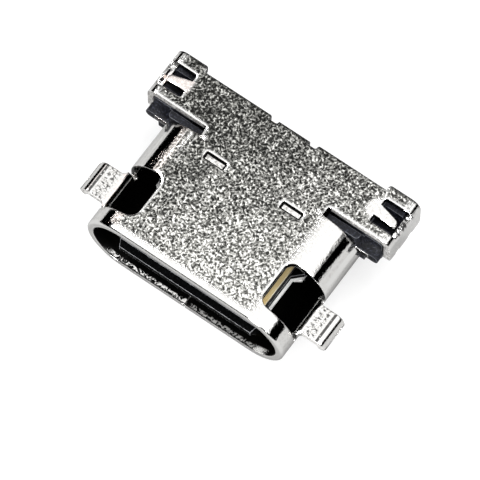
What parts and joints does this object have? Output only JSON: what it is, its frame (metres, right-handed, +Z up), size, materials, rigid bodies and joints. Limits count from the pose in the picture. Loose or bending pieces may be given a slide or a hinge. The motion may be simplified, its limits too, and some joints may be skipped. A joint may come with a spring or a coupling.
{
  "type": "usb-c socket",
  "caption": "Recessed board socket: a rolled oval steel tube with folded ears and hooked board tabs round a plastic housing and a contact tongue.",
  "frame": {"origin": "bottom centre of the whole socket; the lowest flat of the tube lies at z = 0", "axes": "+X across the mouth, +Y from the mouth to the rear, +Z up"},
  "size_m": [0.0112, 0.0076, 0.0032],
  "materials": {
    "shell_sheet": "matt nickel plate, polished at folds and lip",
    "housing_plastic": "moulded, fine grain",
    "tongue_plastic": "moulded, fine grain",
    "carrier_plastic": "moulded, fine grain",
    "plate_sheet": "bright stamped steel",
    "contact_metal": "gold plate"
  },
  "bodies": {
    "root": {"shell": "shell_sheet", "housing": "housing_plastic", "tongue_overmold": "tongue_plastic", "upper_carrier": "carrier_plastic", "lower_carrier": "carrier_plastic", "mid_plate": "plate_sheet", "contact_a1": "contact_metal", "contact_a4": "contact_metal", "contact_a5": "contact_metal", "contact_a6": "contact_metal", "contact_a7": "contact_metal", "contact_a8": "contact_metal", "contact_a9": "contact_metal", "contact_a12": "contact_metal", "contact_b12": "contact_metal", "contact_b9": "contact_metal", "contact_b8": "contact_metal", "contact_b7": "contact_metal", "contact_b6": "contact_metal", "contact_b5": "contact_metal", "contact_b4": "contact_metal", "contact_b1": "contact_metal"}
  },
  "joints": []
}
